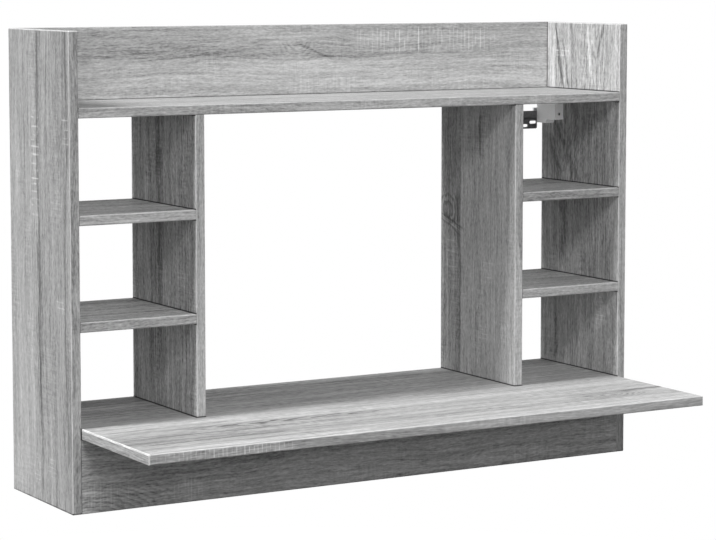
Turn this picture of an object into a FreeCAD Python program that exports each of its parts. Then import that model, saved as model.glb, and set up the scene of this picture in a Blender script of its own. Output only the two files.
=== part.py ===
import FreeCAD, Part
import math
import os

# A wall-hung desk of flat boards: two side panels, a top shelf with a back rail, two dividers,
# four small shelves, a desk board that stands out at the front, and a front rail under it.
# Cams, dowels and screws hold the boards, and two adjustable hangers hook it to wall plates.
# X runs along the wall, Y towards the wall and Z up. The wall is the plane Y = 0, and
# Z = 0 is the line of the wall plates' upper screw slots. Lengths are in millimetres.

Vector = FreeCAD.Vector
ALONG_X = Vector(1, 0, 0)
ALONG_Y = Vector(0, 1, 0)
ALONG_Z = Vector(0, 0, 1)

# Boards
board = 15.0             # thickness of every board
unit_width = 1000.0      # over both side panels
carcass_depth = 225.0    # from the wall to the front edges
desk_reach = 230.0       # how far the desk stands out past the front edges
rail_height = 112.5      # front rail below the desk, and back rail above the top shelf
cell_height = 142.5      # clear height of a cell
bay_width = 190.0        # clear width of a bay
arris = 1.0              # rounding along the boards' edges
overrun = 2.0            # how far a cutter runs past what it cuts

# Dowels, cams, cam bolts and screws that hold the boards
joint_edge = 45.0        # first connector, from a board's front or rear edge
joint_pitch = 32.0       # from a connector to the next one
rail_dowel_shares = (-0.5, 0.0, 0.5)   # places of the rails' upright dowels, as shares of half the width
fit_gap = 0.1            # all round a connector in its bore
end_gap = 1.0            # free depth at the end of a bore
dowel_radius = 4.0
dowel_in_face = 11.0     # depth in a board's face
dowel_in_end = 19.0      # depth in a board's end
dowel_chamfer = 1.0
cam_radius = 7.5
cam_depth = 12.0
cam_setback = 34.0       # cam's centre from the end of its board
bolt_thread_radius = 3.0
bolt_thread_length = 11.0
bolt_shank_radius = 3.5
bolt_shank_length = 22.0
bolt_neck_radius = 2.0
bolt_head_radius = 3.4
bolt_head_length = 6.0
bolt_channel_radius = 4.0
divider_screw_radius = 3.5
divider_screw_thread_radius = 2.5
divider_screw_head_radius = 5.0
divider_screw_head_depth = 3.0
divider_screw_grip = 35.0   # depth in the divider's end

# Hook and wall plate of a hanger
plate_thickness = 2.0
plate_width = 62.0
plate_offset = 11.5      # from the side panel's inner face
plate_corner = 3.0
hook_drop = 25.0         # plate's top edge, below the top shelf
lip_height = 9.0
joggle_height = 5.0
slot_to_bend = 6.0       # upper slots' middle, below the bend
lower_slot_drop = 5.5    # lower slot's middle, below the upper slots
slot_margin = 3.0        # plate below the lower slot
slot_width = 5.0
upper_slot_length = 14.0
lower_slot_length = 24.0
upper_slot_spread = 45.0
claw_thickness = 3.0
claw_play = 1.0          # claw to the wall, and claw to the plate's lip
claw_depth = 7.0         # how far the claw reaches behind the lip
claw_reach = 3.5         # how far the claw stands out past the housing's side
hook_thickness = 5.0
arm_height = 5.0
height_travel = 5.0      # hook's travel up, and down
cam_slope = math.radians(60)   # slot in the hook, from level

# Housing and screws of a hanger
housing_width = 16.5     # from the side panel's inner face
housing_length = 55.0
housing_height = 38.0
housing_wall = 1.5
lip_room = 2.0           # plate's lip to the housing
lug_slant = 4.0          # slope at the front of the housing's rear lug
base_thickness = 2.0
run_gap = 0.2            # between sliding faces
carriage_room = 8.5      # carriage to the housing's front wall
carriage_wall = 3.0
carriage_rear_wall = 5.5
hook_rim = 2.5           # metal around the hook's slot
pin_radius = 2.0
pin_rim = 2.0            # metal of the nut around the pin
nut_size = 8.0
nut_length = 9.0
nut_room = 0.7           # nut to its neighbours, at the ends of its travel
tongue_thickness = 5.0
depth_screw_drop = 6.5   # below the top shelf
depth_screw_radius = 2.5
depth_screw_end_share = 0.15   # free end of the carriage past the screw's tip, of its length
height_screw_drop = 28.5
height_screw_radius = 2.0
screw_head_radius = 4.0
screw_head_height = 3.0
recess_width = 1.0
recess_length_share = 1.3      # of the head's radius
recess_depth_share = 0.5       # of the head's height
turn_gap = 0.08          # round a screw that turns in its bore
ring_thickness = 1.0
ring_width = 1.5
ring_groove = 0.5
access_radius = 2.4
base_screw_radius = 2.5
base_screw_head_radius = 4.2
base_screw_length = 13.0
base_screw_shares = (0.24, 0.67)   # places along the housing
base_screw_drop = 15.0
post_radius = 2.2
post_screw_radius = 1.2
post_screw_head_radius = 2.2
post_screw_length = 10.0
post_drop = 17.5
post_setback = 4.0       # post's middle, from the housing's front wall

# Places of the boards
half_width = unit_width / 2
inner_face = half_width - board
divider_bay_face = inner_face - bay_width
divider_inner_face = divider_bay_face - board
front = -carcass_depth
shelf_under = hook_drop + lip_height + joggle_height + slot_to_bend
shelf_top = shelf_under + board
unit_top = shelf_top + rail_height
upper_shelf_top = shelf_under - cell_height
lower_shelf_top = upper_shelf_top - board - cell_height
desk_top = lower_shelf_top - board - cell_height
desk_under = desk_top - board
unit_bottom = desk_under - rail_height

# Places in a hanger: u is counted from the side panel's face, v from the wall
lip_back = claw_thickness + 2 * claw_play
housing_rear = lip_back + plate_thickness + lip_room
housing_front = housing_rear + housing_length
housing_bottom = shelf_under - housing_height
cavity_side = housing_width - housing_wall
cavity_top = shelf_under - housing_wall
cavity_floor = housing_bottom + housing_wall
cavity_front = housing_front - housing_wall
screw_u = (base_thickness + cavity_side) / 2
height_axis = shelf_under - height_screw_drop
depth_axis = shelf_under - depth_screw_drop
cam_run = height_travel / math.tan(cam_slope)
slot_radius = pin_radius + fit_gap
carriage_front = cavity_front - carriage_room
pocket_front = carriage_front - carriage_wall
ring_front = pocket_front - run_gap
ring_rear = ring_front - ring_thickness
nut_front = ring_rear - nut_room - cam_run
nut_rear = nut_front - nut_length
hook_front = nut_rear - cam_run - nut_room
hook_rear = hook_front - 2 * (cam_run + slot_radius + hook_rim)
pin_v = (hook_front + hook_rear) / 2
hook_half_height = height_travel + slot_radius + hook_rim
hook_outer = cavity_side - 2 * run_gap
hook_inner = hook_outer - hook_thickness
carriage_rear = hook_rear - run_gap - carriage_rear_wall
tongue_outer = hook_inner - run_gap
tongue_inner = tongue_outer - tongue_thickness
tongue_rear = pin_v - pin_radius - pin_rim
arm_under = shelf_under - hook_drop
lug_floor = height_axis - hook_half_height - height_travel - run_gap
lug_bottom = lug_floor - housing_wall
lug_front = hook_front + run_gap + housing_wall
plate_bottom = -lower_slot_drop - slot_width / 2 - slot_margin


def block(x0, x1, y0, y1, z0, z1):
    """A box between two corners."""
    return Part.makeBox(x1 - x0, y1 - y0, z1 - z0, Vector(x0, y0, z0))


def rod(radius, start, end):
    """A round bar from one point to another."""
    return Part.makeCylinder(radius, (end - start).Length, start, end - start)


def cone(radius_start, radius_end, start, end):
    """A round taper from one point to another."""
    return Part.makeCone(radius_start, radius_end, (end - start).Length, start, end - start)


def edges_along(solid, directions):
    """The straight edges that run along one of the directions."""
    found = []
    for edge in solid.Edges:
        run = edge.Vertexes[-1].Point - edge.Vertexes[0].Point
        if any(run.cross(direction).Length < run.Length / 2 for direction in directions):
            found.append(edge)
    return found


def eased(solid, directions):
    """Take the sharpness off a board's edges that run along the directions."""
    return solid.makeFillet(arris, edges_along(solid, directions))


def cross_recess(centre, across, other, depth_way, head_radius, head_height):
    """Cutter for a cross-shaped drive in a screw's head."""
    arm = recess_length_share * head_radius
    sunk = depth_way * (recess_depth_share * head_height)
    cutters = []
    for run, side in ((across, other), (other, across)):
        corners = []
        for along, beside in ((-1, -1), (1, -1), (1, 1), (-1, 1), (-1, -1)):
            corners.append(centre + run * (along * arm / 2) + side * (beside * recess_width / 2))
        cutters.append(Part.Face(Part.makePolygon(corners)).extrude(sunk))
    return cutters[0].fuse(cutters[1])


def side_panel(outer, inner):
    return eased(block(min(outer, inner), max(outer, inner), front, 0, unit_bottom, unit_top),
                 (ALONG_X, ALONG_Y, ALONG_Z))


def level_board(x0, x1, y0, top):
    return eased(block(x0, x1, y0, 0, top - board, top), (ALONG_X,))


def divider(x0):
    return eased(block(x0, x0 + board, front, 0, desk_top, shelf_under), (ALONG_Z,))


def rail(y0, z0):
    return eased(block(-inner_face, inner_face, y0, y0 + board, z0, z0 + rail_height), (ALONG_X,))


def make_boards():
    boards = {
        "side_panel_left": side_panel(-half_width, -inner_face),
        "side_panel_right": side_panel(half_width, inner_face),
        "top_shelf": level_board(-inner_face, inner_face, front, shelf_top),
        "desk_board": level_board(-inner_face, inner_face, front - desk_reach, desk_top),
        "back_rail": rail(-board, shelf_top),
        "front_rail": rail(front, unit_bottom),
        "divider_left": divider(-divider_bay_face),
        "divider_right": divider(divider_inner_face),
    }
    for level, top in (("upper", upper_shelf_top), ("lower", lower_shelf_top)):
        boards[level + "_shelf_left"] = level_board(-inner_face, -divider_bay_face, front, top)
        boards[level + "_shelf_right"] = level_board(divider_bay_face, inner_face, front, top)
    return boards


# Connectors are made with their axis along X, the joint between the two boards at X = 0,
# the board's end on the +X side, and the cam's mouth on the -Z side.

def along(x):
    return ALONG_X * x


def wood_dowel():
    peg = rod(dowel_radius, along(-dowel_in_face), along(dowel_in_end))
    rims = [edge for edge in peg.Edges if edge.Closed]
    return peg.makeChamfer(dowel_chamfer, rims)


def dowel_bore():
    return rod(dowel_radius + fit_gap, along(-dowel_in_face - end_gap), along(dowel_in_end + end_gap))


def cam_bolt():
    neck_end = cam_setback + bolt_head_radius - bolt_head_length
    steps = (
        (bolt_thread_radius, -bolt_thread_length, 0),
        (bolt_shank_radius, 0, bolt_shank_length),
        (bolt_neck_radius, bolt_shank_length, neck_end),
        (bolt_head_radius, neck_end, neck_end + bolt_head_length),
    )
    bolt = rod(steps[0][0], along(steps[0][1]), along(steps[0][2]))
    for radius, start, end in steps[1:]:
        bolt = bolt.fuse(rod(radius, along(start), along(end)))
    return bolt.removeSplitter()


def cam_disc():
    mouth = -board / 2
    radius = cam_radius - fit_gap
    axis = Vector(cam_setback, 0, mouth)
    disc = rod(radius, axis, axis + ALONG_Z * (cam_depth - end_gap))
    room = bolt_head_radius + fit_gap
    neck_room = bolt_neck_radius + fit_gap
    head_end = cam_setback + bolt_head_radius
    head_start = head_end - bolt_head_length
    head_hollow = block(head_start - fit_gap, head_end + fit_gap, -room, room, -room, board)
    neck_slot = block(0, head_end, -neck_room, neck_room, -neck_room, board)
    drive = cross_recess(axis, ALONG_X, ALONG_Y, ALONG_Z, screw_head_radius, screw_head_height)
    return disc.cut([head_hollow, neck_slot, drive])


def cam_bore():
    mouth = Vector(cam_setback, 0, -board / 2)
    thread = rod(bolt_thread_radius + fit_gap, along(-bolt_thread_length - end_gap), along(0))
    channel = rod(bolt_channel_radius, along(0), along(cam_setback))
    pocket = rod(cam_radius, mouth - ALONG_Z * overrun, mouth + ALONG_Z * cam_depth)
    return Part.makeCompound([thread, channel, pocket])


def divider_screw():
    head_top = -board
    head_end = head_top + divider_screw_head_depth
    screw = cone(divider_screw_head_radius, divider_screw_radius, along(head_top), along(head_end))
    screw = screw.fuse(rod(divider_screw_radius, along(head_end), along(0)))
    screw = screw.fuse(rod(divider_screw_thread_radius, along(0), along(divider_screw_grip)))
    drive = cross_recess(along(head_top), ALONG_Y, ALONG_Z, ALONG_X,
                         divider_screw_head_radius, divider_screw_head_depth)
    return screw.removeSplitter().cut(drive)


def divider_screw_bore():
    head_top = -board
    head_end = head_top + divider_screw_head_depth
    sink = cone(divider_screw_head_radius + fit_gap, divider_screw_radius + fit_gap,
                along(head_top), along(head_end))
    shank = rod(divider_screw_radius + fit_gap, along(head_top), along(0))
    thread = rod(divider_screw_thread_radius + fit_gap, along(0), along(divider_screw_grip + end_gap))
    return Part.makeCompound([sink, shank, thread])


def placed(shape, at, into, up):
    """Stand a connector at a joint: its axis along into, its cam's axis along up."""
    copy = shape.copy()
    copy.Placement = FreeCAD.Placement(at, FreeCAD.Rotation(into, up.cross(into), up, "XZY"))
    return copy


def end_joints():
    """Joints between the ends of level boards and the upright boards: kind, boards, place, ways."""
    from_front = front + joint_edge
    from_rear = -joint_edge
    joints = []
    for side, way in (("left", -1), ("right", 1)):
        panel = "side_panel_" + side
        into = ALONG_X * -way
        for name, top in (("top_shelf", shelf_top), ("desk_board", desk_top),
                          ("upper_shelf_" + side, upper_shelf_top), ("lower_shelf_" + side, lower_shelf_top)):
            middle = top - board / 2
            for y in (from_front, from_rear):
                joints.append(("cam", panel, name, Vector(way * inner_face, y, middle), into, ALONG_Z))
            if name.endswith(side):
                for y in (from_front, from_rear):
                    place = Vector(way * divider_bay_face, y, middle)
                    joints.append(("dowel", "divider_" + side, name, place, -into, ALONG_Z))
            else:
                for y in (from_front + joint_pitch, from_rear - joint_pitch):
                    joints.append(("dowel", panel, name, Vector(way * inner_face, y, middle), into, ALONG_Z))
        for name, y, z0 in (("front_rail", front + board / 2, unit_bottom),
                            ("back_rail", -board / 2, shelf_top)):
            middle = z0 + rail_height / 2
            joints.append(("cam", panel, name, Vector(way * inner_face, y, middle), into, -ALONG_Y))
            for z in (middle - joint_pitch, middle + joint_pitch):
                joints.append(("dowel", panel, name, Vector(way * inner_face, y, z), into, -ALONG_Y))
    return joints


def upright_joints():
    """Joints between the dividers or rails and the level boards above or below them."""
    joints = []
    divider_x = (divider_inner_face + divider_bay_face) / 2
    for side, way in (("left", -1), ("right", 1)):
        for y in (front + joint_edge, -joint_edge):
            head = Vector(way * divider_x, y, shelf_under)
            foot = Vector(way * divider_x, y, desk_top)
            joints.append(("dowel", "top_shelf", "divider_" + side, head, -ALONG_Z, ALONG_X))
            joints.append(("screw", "desk_board", "divider_" + side, foot, ALONG_Z, ALONG_X))
    for share in rail_dowel_shares:
        x = share * half_width
        under_desk = Vector(x, front + board / 2, desk_under)
        on_shelf = Vector(x, -board / 2, shelf_top)
        joints.append(("dowel", "desk_board", "front_rail", under_desk, -ALONG_Z, ALONG_X))
        joints.append(("dowel", "top_shelf", "back_rail", on_shelf, ALONG_Z, ALONG_X))
    return joints


def fit_connectors(boards):
    """Bore the boards at every joint, and give the connectors that go into the bores."""
    kinds = {
        "dowel": (dowel_bore(), {"wood_dowels": wood_dowel()}),
        "cam": (cam_bore(), {"cam_bolts": cam_bolt(), "cam_discs": cam_disc()}),
        "screw": (divider_screw_bore(), {"divider_screws": divider_screw()}),
    }
    groups = {"wood_dowels": [], "cam_bolts": [], "cam_discs": [], "divider_screws": []}
    bores = {name: [] for name in boards}
    for kind, first, second, at, into, up in end_joints() + upright_joints():
        bore, pieces = kinds[kind]
        bores[first].append(placed(bore, at, into, up))
        bores[second].append(placed(bore, at, into, up))
        for group, piece in pieces.items():
            groups[group].append(placed(piece, at, into, up))
    bored = {name: boards[name].cut(bores[name]) for name in boards}
    connectors = {group: Part.makeCompound(pieces) for group, pieces in groups.items()}
    return bored, connectors


# A hanger is made for the right-hand bay, and the left one is its mirror image.

def at(u, v, z):
    return Vector(inner_face - u, -v, z)


def bay_block(u0, u1, v0, v1, z0, z1):
    return block(inner_face - u1, inner_face - u0, -v1, -v0, z0, z1)


def bay_prism(outline, u0, u1):
    """Extrude an outline of (v, z) points from u0 to u1."""
    corners = [at(u0, v, z) for v, z in outline]
    face = Part.Face(Part.makePolygon(corners + corners[:1]))
    return face.extrude(ALONG_X * (u0 - u1))


def housing_outline(rear, front_v, top, bottom, lug_front_v, lug_low):
    return ((rear, top), (front_v, top), (front_v, bottom), (lug_front_v + lug_slant, bottom),
            (lug_front_v, lug_low), (rear, lug_low))


def hanger_housing():
    outer = housing_outline(housing_rear, housing_front, shelf_under, housing_bottom, lug_front, lug_bottom)
    inner = housing_outline(housing_rear - overrun, cavity_front, cavity_top, cavity_floor,
                            lug_front - housing_wall, lug_floor)
    shell = bay_prism(outer, 0, housing_width).cut(bay_prism(inner, -overrun, cavity_side))
    post_v = cavity_front - post_setback
    post_z = shelf_under - post_drop
    shell = shell.fuse(rod(post_radius, at(base_thickness, post_v, post_z), at(cavity_side, post_v, post_z)))
    screw_hole = rod(post_screw_radius + fit_gap, at(0, post_v, post_z),
                     at(post_screw_length + end_gap, post_v, post_z))
    depth_hole = rod(depth_screw_radius + turn_gap, at(screw_u, cavity_front - overrun, depth_axis),
                     at(screw_u, housing_front + overrun, depth_axis))
    height_hole = rod(access_radius, at(screw_u, cavity_front - overrun, height_axis),
                      at(screw_u, housing_front + overrun, height_axis))
    return shell.cut([screw_hole, depth_hole, height_hole])


def base_screw_places():
    z = shelf_under - base_screw_drop
    return [(housing_rear + share * housing_length, z) for share in base_screw_shares]


def sunk_screw(radius, head_radius, length, sink, v, z, gap, from_panel):
    """A screw square to the side panel, its flat head sunk in the base, with a gap all round."""
    head_u, end_u, tip_u = (0, sink, length) if from_panel else (sink, 0, sink - length)
    spare = math.copysign(gap, tip_u - head_u)
    head = cone(head_radius + gap, radius + gap, at(head_u, v, z), at(end_u, v, z))
    return head.fuse(rod(radius + gap, at(head_u, v, z), at(tip_u + spare, v, z)))


def base_screw(v, z, gap):
    return sunk_screw(base_screw_radius, base_screw_head_radius, base_screw_length, base_thickness,
                      v, z, gap, False)


def post_screw(gap):
    return sunk_screw(post_screw_radius, post_screw_head_radius, post_screw_length, base_thickness,
                      cavity_front - post_setback, shelf_under - post_drop, gap, True)


def hanger_base():
    outline = housing_outline(housing_rear, cavity_front - run_gap, cavity_top - run_gap,
                              cavity_floor + run_gap, lug_front - housing_wall - run_gap, lug_floor + run_gap)
    plate = bay_prism(outline, 0, base_thickness)
    return plate.cut([base_screw(v, z, fit_gap) for v, z in base_screw_places()] + [post_screw(fit_gap)])


def hanger_base_screws():
    screws = []
    for v, z in base_screw_places():
        drive = cross_recess(at(base_thickness, v, z), ALONG_Y, ALONG_Z, ALONG_X,
                             base_screw_head_radius, base_thickness)
        screws.append(base_screw(v, z, 0).cut(drive))
    return Part.makeCompound(screws)


def hook_carriage():
    body = bay_block(base_thickness + run_gap, cavity_side - run_gap, carriage_rear, carriage_front,
                     cavity_floor + run_gap, cavity_top - run_gap)
    open_side = cavity_side + overrun
    lift = height_travel + run_gap
    hook_pocket = bay_block(hook_inner - run_gap, open_side, hook_rear - run_gap, hook_front + run_gap,
                            cavity_floor - overrun, height_axis + hook_half_height + lift)
    arm_slot = bay_block(hook_inner - run_gap, open_side, carriage_rear - overrun, hook_rear,
                         arm_under - lift, arm_under + arm_height + lift)
    nut_half = nut_size / 2 + run_gap
    nut_pocket = bay_block(0, screw_u + nut_half, nut_rear - cam_run - run_gap, pocket_front,
                           height_axis - nut_half, height_axis + nut_half)
    tongue_pocket = bay_block(0, hook_inner, tongue_rear - cam_run - run_gap, nut_rear,
                              height_axis - nut_half, height_axis + nut_half)
    height_bore = rod(height_screw_radius + turn_gap, at(screw_u, pocket_front - overrun, height_axis),
                      at(screw_u, carriage_front + overrun, height_axis))
    depth_bore = rod(depth_screw_radius + turn_gap, at(screw_u, carriage_rear - overrun, depth_axis),
                     at(screw_u, carriage_front + overrun, depth_axis))
    return body.cut([hook_pocket, arm_slot, nut_pocket, tongue_pocket, height_bore, depth_bore])


def turning_screw(radius, tip_v, seat_v, ring_v, z):
    """A pan-head screw square to the wall, its head on the seat and a ring's groove behind it."""
    head = rod(screw_head_radius, at(screw_u, seat_v, z), at(screw_u, seat_v + screw_head_height, z))
    drive = cross_recess(at(screw_u, seat_v + screw_head_height, z), ALONG_X, ALONG_Z, ALONG_Y,
                         screw_head_radius, screw_head_height)
    shank = rod(radius, at(screw_u, tip_v, z), at(screw_u, seat_v, z))
    ring_end = at(screw_u, ring_v + ring_thickness, z)
    groove = rod(radius, at(screw_u, ring_v, z), ring_end).cut(
        rod(radius - ring_groove, at(screw_u, ring_v, z), ring_end))
    return shank.cut(groove).fuse(head).removeSplitter().cut(drive)


def snap_ring(radius, ring_v, z):
    """A ring sprung into a screw's groove, with the gap that lets it snap on."""
    inner = radius - ring_groove + turn_gap
    start = at(screw_u, ring_v + turn_gap, z)
    end = at(screw_u, ring_v + ring_thickness - turn_gap, z)
    ring = rod(radius + ring_width, start, end).cut(rod(inner, start, end))
    mouth = bay_block(screw_u - inner, screw_u + inner, ring_v, ring_v + ring_thickness,
                      z - radius - 2 * ring_width, z)
    return ring.cut(mouth)


def depth_ring_v():
    return cavity_front - run_gap - ring_thickness


def depth_screw():
    tip = carriage_rear + depth_screw_end_share * (carriage_front - carriage_rear)
    return turning_screw(depth_screw_radius, tip, housing_front, depth_ring_v(), depth_axis)


def height_screw_tip():
    return nut_rear - cam_run + nut_room


def height_screw():
    return turning_screw(height_screw_radius, height_screw_tip(), carriage_front, ring_rear, height_axis)


def cam_nut():
    half = nut_size / 2
    nut = bay_block(screw_u - half, screw_u + half, nut_rear, nut_front,
                    height_axis - half, height_axis + half)
    nut = nut.fuse(bay_block(tongue_inner, tongue_outer, tongue_rear, nut_rear,
                             height_axis - half, height_axis + half)).removeSplitter()
    thread_end = height_screw_tip() - cam_run - nut_room
    thread = rod(height_screw_radius + turn_gap, at(screw_u, thread_end, height_axis),
                 at(screw_u, nut_front + overrun, height_axis))
    pin_bore = rod(pin_radius + turn_gap, at(tongue_inner - overrun, pin_v, height_axis),
                   at(tongue_outer + overrun, pin_v, height_axis))
    return nut.cut([thread, pin_bore])


def cam_pin():
    return rod(pin_radius, at(tongue_inner, pin_v, height_axis), at(hook_outer, pin_v, height_axis))


def hook():
    plate = bay_block(hook_inner, hook_outer, hook_rear, hook_front,
                      height_axis - hook_half_height, height_axis + hook_half_height)
    arm = bay_block(hook_inner, hook_outer, claw_play, hook_rear, arm_under, arm_under + arm_height)
    claw = bay_block(hook_inner, housing_width + claw_reach, claw_play, claw_play + claw_thickness,
                     arm_under - claw_depth, arm_under + arm_height)
    rise = height_travel + fit_gap
    ends = [(pin_v + way * rise / math.tan(cam_slope), height_axis + way * rise) for way in (-1, 1)]
    side_v = slot_radius * math.sin(cam_slope)
    side_z = slot_radius * math.cos(cam_slope)
    outline = [(v + way * side_v, z - way * side_z) for (v, z), ways in zip(ends, ((-1, 1), (1, -1)))
               for way in ways]
    slot = [bay_prism(outline, hook_inner - overrun, hook_outer + overrun)]
    for v, z in ends:
        slot.append(rod(slot_radius, at(hook_inner - overrun, v, z), at(hook_outer + overrun, v, z)))
    return plate.fuse([arm, claw]).removeSplitter().cut(slot)


def plate_slot(u, z, length):
    """Cutter for a level slot in the wall plate."""
    radius = slot_width / 2
    half = length / 2 - radius
    depth = (-overrun, plate_thickness + overrun)
    cutters = [bay_block(u - half, u + half, depth[0], depth[1], z - radius, z + radius)]
    for end in (u - half, u + half):
        cutters.append(rod(radius, at(end, depth[0], z), at(end, depth[1], z)))
    return cutters[0].fuse(cutters[1:])


def wall_plate():
    slope = math.atan2(lip_back, joggle_height)
    turn = plate_thickness * math.tan(slope / 2)
    low_bend = arm_under - lip_height - joggle_height
    high_bend = arm_under - lip_height
    lip_front = lip_back + plate_thickness
    outline = ((0, plate_bottom), (0, low_bend), (lip_back, high_bend), (lip_back, arm_under),
               (lip_front, arm_under), (lip_front, high_bend - turn), (plate_thickness, low_bend - turn),
               (plate_thickness, plate_bottom))
    plate = bay_prism(outline, plate_offset, plate_offset + plate_width)
    plate = plate.makeFillet(plate_corner, edges_along(plate, (ALONG_Y,)))
    middle = plate_offset + plate_width / 2
    slots = [plate_slot(middle, -lower_slot_drop, lower_slot_length)]
    for way in (-1, 1):
        slots.append(plate_slot(middle + way * upper_slot_spread / 2, 0, upper_slot_length))
    return plate.cut(slots)


def make_hanger():
    return {
        "hanger_housing": hanger_housing(),
        "hanger_base": hanger_base(),
        "hanger_base_screws": hanger_base_screws(),
        "hanger_post_screw": post_screw(0),
        "hook_carriage": hook_carriage(),
        "depth_screw": depth_screw(),
        "depth_screw_ring": snap_ring(depth_screw_radius, depth_ring_v(), depth_axis),
        "height_screw": height_screw(),
        "height_screw_ring": snap_ring(height_screw_radius, ring_rear, height_axis),
        "cam_nut": cam_nut(),
        "cam_pin": cam_pin(),
        "hook": hook(),
        "wall_plate": wall_plate(),
    }


def mirrored(shape):
    return shape.mirror(Vector(0, 0, 0), ALONG_X)


def main():
    boards, connectors = fit_connectors(make_boards())
    base_bores = [base_screw(v, z, fit_gap) for v, z in base_screw_places()]
    boards["side_panel_right"] = boards["side_panel_right"].cut(base_bores)
    boards["side_panel_left"] = boards["side_panel_left"].cut([mirrored(bore) for bore in base_bores])
    pieces = {**boards, **connectors}
    for name, piece in make_hanger().items():
        pieces[name + "_right"] = piece
        pieces[name + "_left"] = mirrored(piece)
    os.makedirs("parts", exist_ok=True)
    for name, piece in pieces.items():
        piece.exportStep("parts/" + name + ".step")
        state = "valid" if piece.isValid() else "BAD"
        print(name, len(piece.Solids), "solids", round(piece.Volume), "mm3", state)


main()
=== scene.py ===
# %% [markdown]
# The object is a desk that hangs on a wall: two side panels, a shelf on top with a rail behind it, two
# dividers with small shelves beside them, a desk board that stands out, and a rail under it. All the
# boards are already built at their real size, so they are loaded as they are. This lesson gives each of
# them its finish, and adds a camera and a small studio.

# %% Load the built desk
import math

import bpy
from mathutils import Euler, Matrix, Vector


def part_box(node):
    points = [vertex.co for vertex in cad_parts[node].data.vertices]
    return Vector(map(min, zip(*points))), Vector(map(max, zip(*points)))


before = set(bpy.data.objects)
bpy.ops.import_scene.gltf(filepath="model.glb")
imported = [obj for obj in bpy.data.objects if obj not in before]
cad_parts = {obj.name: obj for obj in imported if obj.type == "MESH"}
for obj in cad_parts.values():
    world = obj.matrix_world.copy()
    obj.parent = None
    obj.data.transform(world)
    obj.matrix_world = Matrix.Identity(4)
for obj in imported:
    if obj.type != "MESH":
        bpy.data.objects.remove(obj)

scene = bpy.context.scene
scene.view_settings.view_transform = "Standard"
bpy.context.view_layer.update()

# %% [markdown]
# The camera stands to the left of the desk, a little higher than its top, and looks slightly down
# into it with a long lens. A long lens keeps the upright edges nearly parallel. The picture is
# shifted a little, as with a view camera, so that the desk sits in the frame without tilting the
# camera further down.

# %% Place the camera
PHOTO_WIDTH = 716
SENSOR_WIDTH = 36.0
FOCAL_PIXELS = 2517.9
CAMERA_PLACE = (-1.9784, -3.5901, 0.2572)
CAMERA_YAW = 0.5284
CAMERA_PITCH = 0.0896
FRAME_SHIFT = -0.1

camera_data = bpy.data.cameras.new("camera")
camera_data.sensor_width = SENSOR_WIDTH
camera_data.lens = FOCAL_PIXELS / PHOTO_WIDTH * SENSOR_WIDTH
camera_data.shift_y = FRAME_SHIFT
camera = bpy.data.objects.new("camera", camera_data)
camera.location = CAMERA_PLACE
camera.rotation_euler = (math.pi / 2 - CAMERA_PITCH, 0, -CAMERA_YAW)
scene.collection.objects.link(camera)
scene.camera = camera
print("camera lens", round(camera_data.lens, 1), "mm")

# %% [markdown]
# Shader nodes are many and small, so a few helpers keep the recipes short. A term is a plain number or
# the output of another node. `calc` is one Math node, and `blend` picks between two terms.

# %% Helpers for shader nodes
def feed(tree, socket, term):
    """Give a socket a plain value, or join it to another node's output."""
    if isinstance(term, bpy.types.NodeSocket):
        tree.links.new(term, socket)
    else:
        socket.default_value = term


def calc(tree, operation, *terms):
    """One Math node on numbers or sockets."""
    node = tree.nodes.new("ShaderNodeMath")
    node.operation = operation
    for socket, term in zip(node.inputs, terms):
        feed(tree, socket, term)
    return node.outputs["Value"]


def total(tree, *terms):
    """The sum of several terms."""
    result = terms[0]
    for term in terms[1:]:
        result = calc(tree, "ADD", result, term)
    return result


def blend(tree, share, first, second):
    """The first term where the share is 0, the second where it is 1."""
    node = tree.nodes.new("ShaderNodeMix")
    node.data_type = "FLOAT"
    feed(tree, node.inputs["Factor"], share)
    feed(tree, node.inputs["A"], first)
    feed(tree, node.inputs["B"], second)
    return node.outputs["Result"]


def step_up(tree, term, start, end):
    """A soft step from 0 at the start to 1 at the end."""
    node = tree.nodes.new("ShaderNodeMapRange")
    node.interpolation_type = "SMOOTHSTEP"
    feed(tree, node.inputs["Value"], term)
    feed(tree, node.inputs["From Min"], start)
    feed(tree, node.inputs["From Max"], end)
    return node.outputs["Result"]


def near(tree, distance, limit, core=0.4):
    """1 where a distance is under the core share of a limit, fading to 0 at the limit."""
    return step_up(tree, distance, limit, calc(tree, "MULTIPLY", limit, core))


def between(tree, mask, term, low, high, fade):
    """The mask where a term lies between two limits, fading in over a length inside each."""
    for limit, inwards in ((low, fade), (high, -fade)):
        full = calc(tree, "ADD", limit, inwards)
        mask = calc(tree, "MULTIPLY", mask, step_up(tree, term, limit, full))
    return mask


def split(tree, vector):
    """The three parts of a vector."""
    node = tree.nodes.new("ShaderNodeSeparateXYZ")
    feed(tree, node.inputs["Vector"], vector)
    return node.outputs["X"], node.outputs["Y"], node.outputs["Z"]


def join(tree, x, y, z):
    """A vector from three terms."""
    node = tree.nodes.new("ShaderNodeCombineXYZ")
    feed(tree, node.inputs["X"], x)
    feed(tree, node.inputs["Y"], y)
    feed(tree, node.inputs["Z"], z)
    return node.outputs["Vector"]


print("node helpers ready")

# %% [markdown]
# All the prints and metals here are made of noise. Drawn out along the grain, noise looks like the
# streaks of wood. A recipe that many boards use is a node group: it is built once, and each board
# places it with its own values.

# %% Helpers for noise and node groups
NOISE_MIDDLE = 0.5


def speckle(tree, place, detail):
    """Soft noise round a half, one blotch to each unit of the place."""
    node = tree.nodes.new("ShaderNodeTexNoise")
    feed(tree, node.inputs["Vector"], place)
    node.inputs["Scale"].default_value = 1.0
    node.inputs["Detail"].default_value = detail
    return node.outputs["Fac"]


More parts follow.
